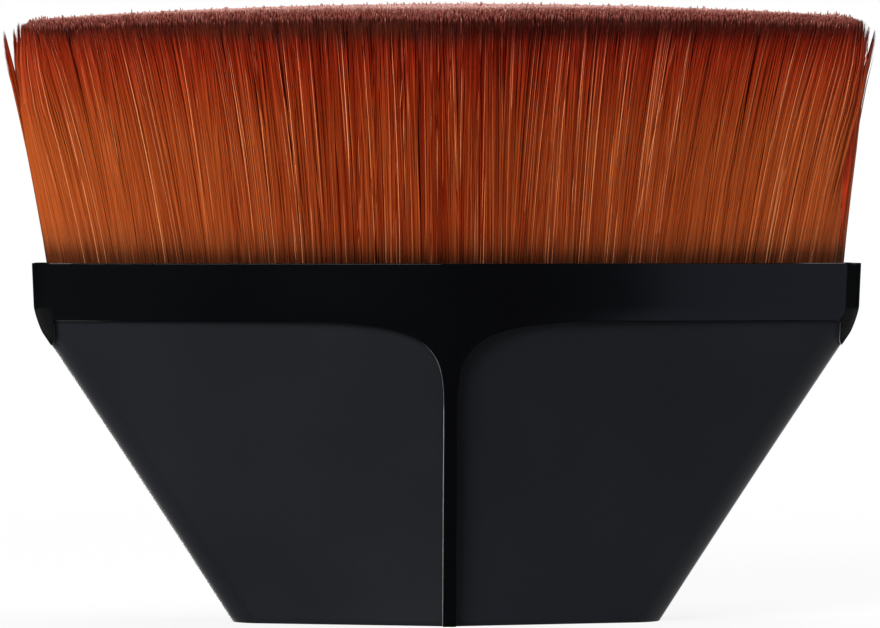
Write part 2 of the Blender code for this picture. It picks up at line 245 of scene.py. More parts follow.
# Where the tips of the end tufts stand, and how far each tuft bows out below
END_TUFTS = [[a * MM for a in tuft] for tuft in (
    (-29.24, -3.0, 39.9, 0.1), (-29.3, -0.4, 39.5, 0.1), (-29.32, 3.0, 39.3, 0.1), (-28.58, -2.2, 40.1, 0.0),
    (-28.7, 1.2, 39.8, 0.0), (-28.76, 4.5, 39.9, 0.0), (-28.2, -3.8, 40.45, 0.0), (-28.36, 0.4, 40.4, 0.0),
    (-28.5, 3.9, 40.5, 0.0), (29.55, -2.2, 40.05, 0.0), (29.6, 2.0, 40.44, 0.0), (29.05, -0.4, 40.6, 0.0),
    (29.4, 4.2, 39.6, 0.0),
)]
TUFT_FIBRES = 40
TUFT_SPREAD = 0.45 * MM
TUFT_POINT = 0.035 * MM
TUFT_JITTER = 0.32 * MM
TUFT_JITTER_LIMIT = 1.6 * MM
TUFT_LEAN_POWER = 6
TUFT_GATHER_POWER = 0.7
TUFT_THICKNESS_SHARES = (0.8, 1.1)
# The end tufts' tones run high, as painted light on these outermost fibres, up into the palest painted
# highlights
LIT_TUFT_TONES = (0.4, 0.95)

# Colours up a long fibre, for the darkest, the brightest and the few palest of them: painted shade just above
# the collar's rim, painted light from above at the very top, the dipped dye in the dark band below it, and
# painted highlights in the palest
SHADED_FIBRE = (
    (0.0, "#120302"), (0.12, "#240602"), (0.17, "#4a0f03"), (0.24, "#5c1002"), (0.5, "#5c0e01"),
    (0.64, "#5a0b01"), (0.78, "#580701"), (0.84, "#4a0502"), (0.865, "#340503"), (0.9, "#260604"),
    (1.0, "#2c0e0e"),
)
BRIGHT_FIBRE = (
    (0.0, "#2a120a"), (0.12, "#4c2412"), (0.17, "#803e1c"), (0.24, "#92441c"), (0.5, "#92431b"),
    (0.64, "#8d3715"), (0.78, "#882710"), (0.84, "#7c1e0e"), (0.865, "#601812"), (0.9, "#4c1913"),
    (1.0, "#8a5a50"),
)
HIGHLIT_FIBRE = (
    (0.0, "#5c3c30"), (0.2, "#b8744a"), (0.6, "#c4784e"), (0.78, "#b86848"), (0.86, "#8c4838"),
    (0.9, "#6e3c34"), (1.0, "#b89088"),
)

# Colours up the last of a fibre, which shows on top of the head, for the same three; lighter at the very top as
# painted light from above
SHADED_TIP = ((0.0, "#2c0404"), (0.6, "#2e0807"), (0.85, "#60261f"), (1.0, "#a47268"))
BRIGHT_TIP = ((0.0, "#4a0e08"), (0.6, "#4e1610"), (0.85, "#90544b"), (1.0, "#e6beb4"))
HIGHLIT_TIP = ((0.0, "#5c1a14"), (0.6, "#62261e"), (0.85, "#a0645c"), (1.0, "#eccec4"))

# Finishes of the handle. The blasted grain is finer in fact, and is drawn as coarse as it needs to show
SINK_WAVE = 12 * MM
POLISH_RIPPLE = 1.6 * MM
BLAST_GRAIN = 0.25 * MM

# Studio
FLOOR_RADIUS = 1.5
FLOOR_COLOUR = "#e0e0e0"
FLOOR_GLOW = 1.0
FLOOR_GLOW_SHARE = 0.85
SHADOW_NEAR = 0.05
SHADOW_FAR = 0.22
SURROUND_LIGHT = 0.3
SURROUND_MIRRORED = 0.01
SIDE_GLOW = 0.12

# The sideways and the upward part of a unit direction, where the surround's glow starts and where it is full
SIDE_GLOW_START = 0.45
SIDE_GLOW_FULL = 0.8
LOW_GLOW_START = -0.05
LOW_GLOW_FULL = -0.25

# Camera: its place, what it looks at, and the width in millimetres that the photograph takes in at the brush
CAMERA_LEFT = 0.014
CAMERA_DISTANCE = 0.4
CAMERA_HEIGHT = 0.026
CAMERA_AIM = (-0.358 * MM, 0, 20.72 * MM)
CAMERA_NEAREST = 0.01
SENSOR_WIDTH = 36.0
PHOTO_WIDTH = 59.66

# The height on the brush's axis that every lamp points at
LAMP_AIM_HEIGHT = 0.025

# Each lamp's name, place, width, height, power and colour
LAMPS = (
    ("key", (-0.32, -0.50, 0.26), 0.36, 0.25, 5.4, "#ffffff"),
    ("top", (0.05, 0.10, 0.60), 0.45, 0.45, 2.5, "#ffffff"),
    ("card_right", (0.40, -0.47, 0.0), 0.20, 0.30, 0.06, "#d4e0ff"),
    ("card_left", (-0.38, -0.50, 0.0), 0.20, 0.30, 0.006, "#e8ecff"),
    ("end_right", (0.45, 0.02, 0.16), 0.20, 0.30, 0.8, "#ffffff"),
)


def hex_colour(text):
    """A six-digit sRGB colour as linear red, green, blue and alpha."""
    channels = [int(text[i : i + 2], 16) / 255 for i in (1, 3, 5)]
    return [c / 12.92 if c <= 0.04045 else ((c + 0.055) / 1.055) ** 2.4 for c in channels] + [1.0]


def add_node(tree, kind, settings=(), inputs=(), links=(), stops=()):
    """Adds a shader node with its settings, input values, links that come in and a ramp's colour stops."""
    node = tree.nodes.new(kind)
    for name, value in dict(settings).items():
        setattr(node, name, value)
    for name, value in dict(inputs).items():
        node.inputs[name].default_value = value
    for name, socket in dict(links).items():
        tree.links.new(socket, node.inputs[name])
    if stops:
        elements = node.color_ramp.elements
        while len(elements) < len(stops):
            elements.new(0.5)
        for element, (place, colour) in zip(elements, stops):
            element.position = place
            element.color = hex_colour(colour)
    return node


def new_material(name):
    """An empty Principled material and its shader."""
    material = bpy.data.materials.new(name)
    material.use_nodes = True
    return material, material.node_tree, material.node_tree.nodes["Principled BSDF"]


def only(piece):
    """Makes a piece the one that is selected and active."""
    bpy.ops.object.select_all(action="DESELECT")
    piece.select_set(True)
    bpy.context.view_layer.objects.active = piece


def pick(piece, kind, test):
    """Selects those vertices, edges or faces of the piece in edit mode that pass a test."""
    bpy.ops.mesh.select_mode(type=kind)
    bpy.ops.mesh.select_all(action="DESELECT")
    mesh = bmesh.from_edit_mesh(piece.data)
    items = {"VERT": mesh.verts, "EDGE": mesh.edges, "FACE": mesh.faces}[kind]
    for item in items:
        item.select_set(test(item))
    mesh.select_flush_mode()
    bmesh.update_edit_mesh(piece.data)


def near(a, b):
    return abs(a - b) < CLOSE


def level(item, z):
    return all(near(v.co.z, z) for v in item.verts)


def add_modifier(piece, kind, **settings):
    """Adds a modifier to a piece and applies it."""
    only(piece)
    modifier = piece.modifiers.new(kind.lower(), kind)
    for name, value in settings.items():
        setattr(modifier, name, value)
    bpy.ops.object.modifier_apply(modifier=modifier.name)


def cut(piece, cutter):
    """Cuts a piece; the faces that the cutter leaves take the cutter's finish, where it has one."""
    add_modifier(piece, "BOOLEAN", object=cutter, operation="DIFFERENCE", material_mode="TRANSFER")
    bpy.data.objects.remove(cutter)


def point_middle(piece, z, half_depth):
    """Pulls the middle of the front and back out to the ridge line, at one height."""
    for side in (-1, 1):
        pick(piece, "VERT", lambda v: near(v.co.x, 0) and near(v.co.z, z) and v.co.y * side > 0)
        place = next(v.co.y for v in bmesh.from_edit_mesh(piece.data).verts if v.select)
        bpy.ops.transform.translate(value=(0, side * half_depth - place, 0))


def hexagon_block(name, plans):
    """A solid through (half width, half depth, end half depth, height) plans, from the top one down."""
    width, depth, end_depth, top = plans[0]
    below = plans[1][3]
    bpy.ops.mesh.primitive_cube_add(
        size=1, location=(0, 0, (top + below) / 2), scale=(2 * width, 2 * end_depth, top - below)
    )
    piece = bpy.context.object
    piece.name = name
    bpy.ops.object.transform_apply(location=True, rotation=True, scale=True)
    bpy.ops.object.mode_set(mode="EDIT")
    bpy.ops.mesh.select_all(action="SELECT")
    bpy.ops.mesh.bisect(plane_co=(0, 0, 0), plane_no=(1, 0, 0))
    point_middle(piece, top, depth)
    for i, (width, depth, end_depth, height) in enumerate(plans[1:]):
        pick(piece, "FACE", lambda f: level(f, plans[max(i, 1)][3]))
        if i:
            down = (0, 0, height - plans[i][3])
            bpy.ops.mesh.extrude_region_move(TRANSFORM_OT_translate={"value": down})
        places = [v.co for v in bmesh.from_edit_mesh(piece.data).verts if v.select]
        corner = max(places, key=lambda co: co.x + co.y)
        bpy.ops.transform.resize(
            value=(width / corner.x, end_depth / corner.y, 1), center_override=(0, 0, height)
        )
        point_middle(piece, height, depth)
    bpy.ops.object.mode_set(mode="OBJECT")
    return piece


def bevel_where(piece, test, offset, segments):
    """Rounds those edges of a piece that pass a test."""
    only(piece)
    bpy.ops.object.mode_set(mode="EDIT")
    pick(piece, "EDGE", test)
    bpy.ops.mesh.bevel(offset=offset, segments=segments, profile=0.5, affect="EDGES", clamp_overlap=True)
    bpy.ops.object.mode_set(mode="OBJECT")


def flatten_faces(piece):
    """Splits faces into triangles, so that each is flat when the piece is cut."""
    add_modifier(piece, "TRIANGULATE", quad_method="SHORTEST_DIAGONAL")


def merge_flat_faces(piece):
    """Joins again the triangles that lie in one plane, and the points that nearly meet."""
    add_modifier(piece, "WELD", merge_threshold=MERGE_DISTANCE)
    add_modifier(piece, "DECIMATE", decimate_type="DISSOLVE", angle_limit=MERGE_ANGLE)


def upright(edge):
    a, b = (v.co for v in edge.verts)
    return abs(a.z - b.z) > CLOSE


def on_end_corner(edge):
    """An edge of the chain that runs up between a long face and a short end."""
    crossed = all(len(v.link_edges) > 2 for v in edge.verts)
    return upright(edge) and crossed and edge.calc_face_angle(0) > CORNER_ANGLE


def on_ridge(edge):
    return upright(edge) and all(near(v.co.x, 0) for v in edge.verts)


def on_rim(edge):
    return level(edge, RIM_HEIGHT) and edge.calc_face_angle(0) > RIM_ANGLE


def body_plan(z):
    """Half sizes of the body between its base and the collar, with flanks a little hollow."""
    share = z / PANEL_TOP
    hollow = FLANK_HOLLOW * 4 * share * (1 - share)
    low = (BASE_HALF_WIDTH, BASE_HALF_DEPTH, BASE_END_HALF_DEPTH)
    high = (RIM_HALF_WIDTH, RIM_HALF_DEPTH, RIM_END_HALF_DEPTH)
    return [a + (b - COLLAR_DRAFT - a) * share - hollow for a, b in zip(low, high)] + [z]


def panel_plan(z):
    """Half sizes of the scooped faces, deepest beside the ridge."""
    share = z / PANEL_TOP
    width, depth, end_depth, _ = body_plan(z)
    bow = PANEL_HOLLOW * 4 * share * (1 - share)
    return (width - PANEL_END_INSET, depth - PANEL_DROP_AT_RIDGE - bow, end_depth - PANEL_DROP_AT_END, z)


def flank_edge(z):
    """A point of the prism's outer edge as seen from the front, just clear of the flank."""
    return Vector((body_plan(z)[0] + PANEL_OVERREACH, z, 0))


def flank_run(z, rise):
    """How that edge runs at a height while it rises so much."""
    return flank_edge(z + rise / 2) - flank_edge(z - rise / 2)


def panel_prism():
    """Both panels as seen from the front, drawn as a curve and run through the handle from front to back."""
    ridge = RIDGE_WIDTH / 2
    end = RIM_HALF_WIDTH - END_LAND
    foot = PANEL_TOP - RIDGE_FLARE_HEIGHT
    flare_end = ridge + RIDGE_FLARE_WIDTH
    turn = PANEL_TOP - END_LAND_HEIGHT
    join = turn - END_TURN_HEIGHT
    curve = bpy.data.curves.new("panel_prism", "CURVE")
    curve.dimensions = "2D"
    curve.fill_mode = "BOTH"
    curve.resolution_u = PANEL_CURVE_STEPS
    curve.extrude = RIM_HALF_DEPTH + 2 * OVERRUN
    spline = curve.splines.new("BEZIER")
    places = [(ridge, PANEL_FOOT), (ridge, foot), (flare_end, PANEL_TOP), (end, PANEL_TOP), (end, turn)]
    places = [Vector((*place, 0)) for place in places] + [flank_edge(join), flank_edge(PANEL_FOOT)]
    spline.bezier_points.add(len(places) - 1)
    spline.use_cyclic_u = True
    points = spline.bezier_points
    for point, place in zip(points, places):
        point.handle_left_type = point.handle_right_type = "FREE"
        point.co = place
    for point, after in zip(points, [*points[1:], points[0]]):
        point.handle_right = point.co.lerp(after.co, 1 / 3)
        after.handle_left = after.co.lerp(point.co, 1 / 3)
    points[1].handle_right = (ridge, foot + RIDGE_FLARE_HEIGHT * FLARE_UP_SHARE, 0)
    points[2].handle_left = (flare_end - RIDGE_FLARE_WIDTH * FLARE_OUT_SHARE, PANEL_TOP, 0)
    points[4].handle_right = (end, turn - END_TURN_HEIGHT / 2, 0)
    points[5].handle_left = points[5].co + flank_run(join, END_TURN_HEIGHT / 2)
    points[5].handle_right = points[5].co + flank_run(join, (PANEL_FOOT - join) / 3)
    points[6].handle_left = points[6].co + flank_run(PANEL_FOOT, (join - PANEL_FOOT) / 3)
    piece = bpy.data.objects.new("panel_prism", curve)
    bpy.context.scene.collection.objects.link(piece)
    piece.rotation_euler.x = math.pi / 2
    only(piece)
    bpy.ops.object.convert(target="MESH")
    piece = bpy.context.object
    bpy.ops.object.transform_apply(location=True, rotation=True, scale=True)
    merge_flat_faces(piece)
    bpy.ops.object.mode_set(mode="EDIT")
    bpy.ops.mesh.select_all(action="SELECT")
    bpy.ops.mesh.normals_make_consistent(inside=False)
    bpy.ops.object.mode_set(mode="OBJECT")
    add_modifier(piece, "MIRROR", merge_threshold=CLOSE)
    return piece


def handle_moulding():
    """The handle: a tapered hexagon with a collar, scooped between the ridges, hollowed and softly edged."""
    rim = (RIM_HALF_WIDTH, RIM_HALF_DEPTH, RIM_END_HALF_DEPTH, RIM_HEIGHT)
    body = [body_plan(PANEL_TOP * share) for share in BODY_LEVEL_SHARES]
    handle = hexagon_block("handle_moulding", [rim, *body])
    bevel_where(handle, lambda e: level(e, PANEL_TOP), SHOULDER_RUN, segments=8)
    bevel_where(handle, on_end_corner, END_CORNER_REACH, segments=8)
    bevel_where(handle, on_ridge, RIDGE_CORNER_REACH, segments=6)
    bevel_where(handle, lambda e: level(e, 0), BASE_EDGE, segments=4)

    wall = [a - COLLAR_WALL for a in rim[:3]]
    seat = [a - SHELL_WALL for a in panel_plan(SEAT_FLOOR)[:3]]
    throat = [a - PLATE_LEDGE for a in seat]
    floor = [a - SHELL_WALL for a in panel_plan(BASE_WALL)[:3]]
    socket = hexagon_block("socket", [(*wall, RIM_HEIGHT + OVERRUN), (*wall, SOCKET_FLOOR)])
    bevel_where(socket, on_end_corner, INNER_CORNER_REACH, segments=4)
    faces = hexagon_block("panel_faces", [panel_plan(PANEL_TOP * share) for share in PANEL_LEVEL_SHARES])
    bevel_where(faces, on_end_corner, PANEL_CORNER_REACH, segments=10)
    prism = panel_prism()
    handle.data.materials.append(polished_black_abs())
    satin = satin_black_abs()
    for piece in (faces, prism):
        piece.data.materials.append(satin)
    for piece in (handle, faces, prism, socket):
        flatten_faces(piece)
    cut(prism, faces)
    cut(handle, prism)
    hollow = [(*throat, SEAT_FLOOR + OVERRUN), (*throat, SEAT_FLOOR), (*floor, BASE_WALL)]
    cut(handle, hexagon_block("hollow", hollow))
    cut(handle, hexagon_block("seat", [(*seat, SOCKET_FLOOR + OVERRUN), (*seat, SEAT_FLOOR)]))
    cut(handle, socket)
    merge_flat_faces(handle)

    bevel_where(handle, on_rim, RIM_EDGE, segments=3)
    add_modifier(
        handle, "BEVEL", width=FINE_EDGE, segments=2, limit_method="ANGLE", angle_limit=SHARP_ANGLE,
        use_clamp_overlap=False, material=0,
    )
    add_modifier(handle, "WELD", merge_threshold=FINE_MERGE)
    only(handle)
    bpy.ops.object.shade_smooth_by_angle(angle=SHARP_ANGLE)
    add_modifier(handle, "WEIGHTED_NORMAL", keep_sharp=True)
    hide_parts("handle_shell")
    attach(handle, "root")


def rounded_outline(half_width, half_depth, end_half_depth):
    """Points round a hexagon with round corners, the last the same as the first."""
    corners = np.array([
        (0, -half_depth), (half_width, -end_half_depth), (half_width, end_half_depth),
        (0, half_depth), (-half_width, end_half_depth), (-half_width, -end_half_depth),
    ])
    reach = np.array([HEAD_RIDGE_ROUND, HEAD_END_ROUND, HEAD_END_ROUND] * 2)
    points = []
    for i, corner in enumerate(corners):
        before = corners[i - 1] - corner
        after = corners[(i + 1) % 6] - corner
        start = corner + before / np.linalg.norm(before) * reach[i]
        stop = corner + after / np.linalg.norm(after) * reach[i]
        for t in np.linspace(0, 1, HEAD_CORNER_POINTS):
            points.append((1 - t) ** 2 * start + 2 * t * (1 - t) * corner + t**2 * stop)
    points = np.array(points)
    return np.vstack([points, points[:1]])


def along_outline(outline, share):
    """Places and outward directions at those shares of the way round."""
    steps = np.linalg.norm(np.diff(outline, axis=0), axis=1)
    walked = np.concatenate([[0], np.cumsum(steps)]) / steps.sum()
    places = np.stack([np.interp(share, walked, outline[:, k]) for k in (0, 1)], axis=1)
    next_share = (share + LOOK_AHEAD_SHARE) % 1
    ahead = np.stack([np.interp(next_share, walked, outline[:, k]) for k in (0, 1)], axis=1)
    way = ahead - places
    way /= np.linalg.norm(way, axis=1)[:, None]
    return places, np.stack([way[:, 1], -way[:, 0]], axis=1)


def soft_noise(rng, at, spacing):
    """Smooth noise between -1 and 1 along a line, with a fresh value each spacing."""
    knots = rng.uniform(-1, 1, int(at.max() / spacing) + 3)
    return np.interp(at / spacing, np.arange(len(knots)), knots)


def inside_head(places):
    """How far points lie inside the head's plan at the tips."""
    width = ROOT_HALF_WIDTH + TIP_FLARE
    across = ROOT_HALF_DEPTH + TIP_FLARE
    slope = (ROOT_HALF_DEPTH - ROOT_END_HALF_DEPTH) / width
    x, y = np.abs(places[:, 0]), np.abs(places[:, 1])
    return np.minimum(width - x, (across - slope * x - y) / math.hypot(1, slope))


def tip_surface(places, depth):
    """The height of the low dome that the tips are trimmed to, rounded over at its front and back edge."""
    width = ROOT_HALF_WIDTH + TIP_FLARE
    x = places[:, 0] / width
    y = places[:, 1] / (ROOT_HALF_DEPTH + TIP_FLARE)
    dome = TRIM_LOW + CROWN_ALONG * x**2 + CROWN_ACROSS * y**2 - TRIM_TILT * x
    at_end = np.clip(1 - (1 - np.abs(x)) * width / SHARP_END_RUN, 0, 1)
    drop = TIP_EDGE_DROP * (1 - SHARP_END_SHARE * at_end)
    return TIP_HEIGHT - dome - drop * np.clip(1 - depth / TIP_EDGE_RUN, 0, 1) ** 2


def drawn_in(x):
    """Where a tip near an end stands once the ends are trimmed narrower."""
    trim = np.where(x < 0, END_TRIM_LEFT, END_TRIM_RIGHT)
    over = np.clip(np.abs(x) - (ROOT_HALF_WIDTH + TIP_FLARE - trim - END_TRIM_RUN), 0, None)
    return x - np.sign(x) * over * trim / (trim + END_TRIM_RUN)


def one_fibre(segments, end_width=0.0):
    """A fibre one unit tall, cut into rings so that it can bend, with a pointed or a blunt end."""
    bpy.ops.mesh.primitive_cone_add(
        vertices=FIBRE_SIDES, radius1=1, radius2=end_width, depth=1, location=(0, 0, 0.5)
    )
    fibre = bpy.context.object
    bpy.ops.object.transform_apply(location=True, rotation=True, scale=True)
    bpy.ops.object.mode_set(mode="EDIT")
    for ring in range(1, segments):
        bpy.ops.mesh.select_all(action="SELECT")
        bpy.ops.mesh.bisect(plane_co=(0, 0, ring / segments), plane_no=(0, 0, 1))
    bpy.ops.object.mode_set(mode="OBJECT")
    return fibre


def plant_fibres(name, fibre, paths, radii, along, tone, out, material):
    """Copies a fibre along each path, with a map of its tone across and its length up.

    The shading normals are eased towards the outside of the bundle, because light also comes through
    its fibres.
    """
    unit = fibre.data
    count, rings = paths.shape[:2]
    place = np.zeros(len(unit.vertices) * 3)
    unit.vertices.foreach_get("co", place)
    place = place.reshape(-1, 3)
    ring = np.rint(place[:, 2] * (rings - 1)).astype(int)
    bearing = np.arctan2(place[:, 1], place[:, 0])
    corner = np.rint(bearing / (math.tau / FIBRE_SIDES)).astype(int) % FIBRE_SIDES
    point = np.hypot(place[:, 0], place[:, 1]) < POINT_RADIUS
    spin = (tone * TINT_COLUMNS * math.tau)[:, None] + bearing[None, :]
    reach = radii[:, ring] * ~point
    verts = paths[:, ring].copy()
    verts[..., 0] += np.cos(spin) * reach
    verts[..., 1] += np.sin(spin) * reach
    around = np.stack([np.cos(spin), np.sin(spin), np.zeros_like(spin)], axis=2) * ~point[None, :, None]
    normals = around * (1 - EASED_NORMAL_SHARE) + out[:, None, :] * EASED_NORMAL_SHARE
    normals /= np.linalg.norm(normals, axis=2)[..., None]

    near_side, middle, far_side = COLUMN_SIDES
    loops, sizes, side, tilt = [], [], [], []
    for face in unit.polygons:
        corners = {corner[i] for i in face.vertices if not point[i]}
        first = next(k for k in corners if (k - 1) % FIBRE_SIDES not in corners) if len(corners) == 2 else 0
        flat = len({ring[i] for i in face.vertices}) == 1
        for i in face.vertices:
            loops.append(i)
            side.append(middle if point[i] else near_side if corner[i] == first else far_side)
            tilt.append(CAP_TILT if flat and corner[i] == 1 else 0.0)
        sizes.append(len(face.vertices))
    loops = np.array(loops)
    mesh = bpy.data.meshes.new(name)
    mesh.vertices.add(verts.shape[0] * verts.shape[1])
    mesh.vertices.foreach_set("co", verts.reshape(-1))
    every = (np.arange(count)[:, None] * len(place) + loops[None, :]).reshape(-1)
    mesh.loops.add(len(every))
    mesh.loops.foreach_set("vertex_index", every)
    sizes = np.tile(sizes, count)
    mesh.polygons.add(len(sizes))
    mesh.polygons.foreach_set("loop_start", np.concatenate([[0], np.cumsum(sizes)[:-1]]))
    mesh.update(calc_edges=True)
    mesh.shade_smooth()
    column = np.floor(tone * TINT_COLUMNS)[:, None]
    u = (column + np.array(side)[None, :]) / TINT_COLUMNS
    v = np.abs(along[:, ring[loops]] - np.array(tilt)[None, :])
    layer = mesh.uv_layers.new(name="OFBake")
    layer.data.foreach_set("uv", np.stack([u, v], axis=2).reshape(-1))
    mesh.normals_split_custom_set_from_vertices(normals.reshape(-1, 3))

    piece = bpy.data.objects.new(name, mesh)
    bpy.context.scene.collection.objects.link(piece)
    piece.data.materials.append(material)
    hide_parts("bristle_head")
    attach(piece, "root")


def quarters(places):
    """The four quarters of the head: the name of each, and which places lie in it."""
    left = places[:, 0] < 0
    front = places[:, 1] < 0
    return (
        ("front_left", front & left), ("front_right", front & ~left),
        ("back_left", ~front & left), ("back_right", ~front & ~left),
    )


def lean(share):
    """How far out the head has flared at a share of its height."""
    return (1 - FLARE_BOW_SHARE) * share + FLARE_BOW_SHARE * share**2


def head_outline(flare):
    return rounded_outline(ROOT_HALF_WIDTH + flare, ROOT_HALF_DEPTH + flare, ROOT_END_HALF_DEPTH + flare)


def leaned_left(share):
    """How far the head has leaned to the left at a share of its height."""
    return TIP_LEAN_LEFT * share**LEAN_LEFT_POWER


def height_share(z):
    return (z - ROOT_HEIGHT) / (TIP_HEIGHT - ROOT_HEIGHT)


def dye_share(paths):
    """Where points lie in the colours up a fibre; the dark dip is shallower towards the ends."""
    x = paths[..., 0] / (ROOT_HALF_WIDTH + TIP_FLARE)
    return np.clip(height_share(paths[..., 2]) - DIP_RISE * x**2, 0, 1)


def tapered_radii(thick):
    """The radius of long fibres at each ring, thinner over their last stretch."""
    taper = np.clip((1 - RING_HEIGHTS) / TAPER_SHARE, 0, 1) ** TAPER_POWER
    return FIBRE_TIP_RADIUS + (thick[:, None] - FIBRE_TIP_RADIUS) * taper[None, :]


def find_locks(rng, share):
    """Which lock each fibre belongs to, and how far it may be drawn towards the middle of that lock."""
    cuts = np.sort(rng.uniform(0, 1, LOCK_COUNT))
    lock = np.searchsorted(cuts, share) % LOCK_COUNT
    start = np.roll(cuts, 1)
    middle = (start + ((cuts - start) % 1) / 2) * PERIMETER
    to_middle = (middle[lock] - share * PERIMETER + PERIMETER / 2) % PERIMETER - PERIMETER / 2
    return lock, LOCK_GATHER_LIMIT * np.tanh(to_middle / LOCK_GATHER_LIMIT)


def side_fibres(material):
    """The long fibres that show on the sides, which cling together in narrow locks."""
    rng = np.random.default_rng(seed=11)
    count = SIDE_FIBRE_COUNT
    share = rng.uniform(0, 1, count)
    depth = SIDE_FIBRE_DEPTH * rng.uniform(0, 1, count) ** DEPTH_POWER
    root, out = along_outline(head_outline(0), share)
    tip, _ = along_outline(head_outline(TIP_FLARE), share)
    aside = np.stack([-out[:, 1], out[:, 0]], axis=1)
    at = share * PERIMETER
    end = np.clip(np.abs(out[:, 0]) * END_FACING_GAIN - END_FACING_LOSS, 0, 1)
    still = np.clip((ROOT_HALF_WIDTH - np.abs(root[:, 0])) / STILL_ZONE, STILL_LEAST, 1)
    parting = np.exp(-((root[:, 0] / PARTING) ** 2))

    lock, to_middle = find_locks(rng, share)
    gather = rng.uniform(0.0, LOCK_GATHER_SHARE, LOCK_COUNT)[lock]
    lock_sway = rng.normal(0, LOCK_SWAY, LOCK_COUNT)[lock]
    lock_lift = rng.normal(0, LOCK_LIFT, LOCK_COUNT)[lock]
    lock_tone = rng.uniform(-1, 1, LOCK_COUNT)[lock]
    loose = rng.uniform(0, 1, count) < LOOSE_SHARE
    # The palest fibres lie near the surface and carry painted highlights
    highlit = rng.uniform(0, 1, count) < HIGHLIT_SHARE
    depth[loose | highlit] *= OUTERMOST_SHARE
    sway = soft_noise(rng, at, WIDE_SWAY_SPACING) * WIDE_SWAY
    sway += soft_noise(rng, at, FINE_SWAY_SPACING) * FINE_SWAY
    sway += lock_sway + rng.normal(0, FIBRE_SWAY, count) + loose * rng.normal(0, LOOSE_SWAY, count)
    sway *= still
    curl = rng.normal(0, FIBRE_CURL, count)
    lift = lock_lift + rng.normal(0, FIBRE_LIFT, count) + (loose | highlit) * rng.exponential(FIBRE_LIFT, count)
    lift = LIFT_LIMIT * np.tanh((lift - LOCK_LIFT * parting) / LIFT_LIMIT) * (1 - END_LIFT_LOSS * end)

    root -= out * depth[:, None]
    tip -= out * depth[:, None]
    jitter = rng.exponential(TIP_JITTER + end * END_TIP_JITTER, count).clip(0, TIP_JITTER_LIMIT)
    top = tip_surface(tip, depth) - jitter
    paths = np.zeros((count, SIDE_SEGMENTS + 1, 3))
    for ring, h in enumerate(RING_HEIGHTS):
        move = sway * h**SWAY_POWER + to_middle * gather * h**2 + curl * math.sin(math.pi * h)
        place = root + (tip - root) * lean(h) + aside * move[:, None] + out * (lift * h**2)[:, None]
        trim = max(h - END_TRIM_START, 0) / (1 - END_TRIM_START)
        place[:, 0] += (drawn_in(place[:, 0]) - place[:, 0]) * trim - leaned_left(h)
        paths[:, ring, :2] = place
        paths[:, ring, 2] = ROOT_HEIGHT + (top - ROOT_HEIGHT) * h
    thick = FIBRE_RADIUS * rng.uniform(*SIDE_THICKNESS_SHARES, count)
    radii = tapered_radii(thick * np.where(highlit, HIGHLIT_THINNER_SHARE, 1))

    outer = root[:, 0] / ROOT_HALF_WIDTH
    tone = TONE_LOW + TONE_BY_LOCK * lock_tone + rng.exponential(TONE_SPREAD, count)
    tone += TONE_DRIFT * soft_noise(rng, at, TONE_DRIFT_SPACING)
    # Painted light: fibres lighter towards the ends, more so on the left
    painted_light_by_side = np.where(outer < 0, LIGHT_TONE_AT_LEFT * np.abs(outer) ** LIGHT_TONE_LEFT_POWER, LIGHT_TONE_AT_RIGHT * outer)
    # Painted shade: darker in the parting at the middle of the front and the back
    tone += painted_light_by_side - SHADE_IN_PARTING * parting
    # Painted shade: fibres that lie deeper in the bundle are darker
    tone -= SHADE_BY_DEPTH * depth / SIDE_FIBRE_DEPTH
    # Painted highlight: loose fibres that stand out in front are lighter
    tone += LIGHT_ON_LOOSE * loose * rng.uniform(0, 1, count)
    tone = np.where(highlit, rng.uniform(*HIGHLIT_TONES, count), np.clip(tone, 0, TONE_HIGHEST))
    outward = np.column_stack([out, np.zeros(count)])
    fibre = one_fibre(SIDE_SEGMENTS)
    for name, here in quarters(root):
        along = dye_share(paths[here])
        plant_fibres(
            f"side_fibres_{name}", fibre, paths[here], radii[here], along, tone[here], outward[here], material
        )
    bpy.data.objects.remove(fibre)


def end_tufts(material):
    """The few tufts at each end that lean out on their own and run to a point."""
    rng = np.random.default_rng(seed=37)
    tuft = np.repeat(np.array(END_TUFTS), TUFT_FIBRES, axis=0)
    count = len(tuft)
    side = np.sign(tuft[:, 0])
    root_y = tuft[:, 1] * ROOT_END_HALF_DEPTH / (ROOT_END_HALF_DEPTH + TIP_FLARE)
    root = np.column_stack([side * ROOT_HALF_WIDTH, root_y])
    body_tip = root + np.column_stack([side * TIP_FLARE, tuft[:, 1] - root_y])
    spread = np.column_stack([-side * rng.uniform(0, 1, count), rng.normal(0, 1, count)]) * TUFT_SPREAD
    point = rng.normal(0, TUFT_POINT, (count, 2))
    top = tuft[:, 2] - rng.exponential(TUFT_JITTER, count).clip(0, TUFT_JITTER_LIMIT)
    paths = np.zeros((count, SIDE_SEGMENTS + 1, 3))
    for ring, h in enumerate(RING_HEIGHTS):
        place = root + (body_tip - root) * lean(h) + (tuft[:, :2] - body_tip) * h**TUFT_LEAN_POWER
        place += spread * (1 - h) ** TUFT_GATHER_POWER
        place += point
        place[:, 0] += side * tuft[:, 3] * math.sin(math.pi * h) - leaned_left(h)
        paths[:, ring, :2] = place
        paths[:, ring, 2] = ROOT_HEIGHT + (top - ROOT_HEIGHT) * h
    radii = tapered_radii(FIBRE_RADIUS * rng.uniform(*TUFT_THICKNESS_SHARES, count))
    # Painted light: the tufts take high tones
    tone = rng.uniform(*LIT_TUFT_TONES, count)
    outward = np.column_stack([side, np.zeros((count, 2))])
    fibre = one_fibre(SIDE_SEGMENTS)
    plant_fibres("end_tufts", fibre, paths, radii, dye_share(paths), tone, outward, material)
    bpy.data.objects.remove(fibre)


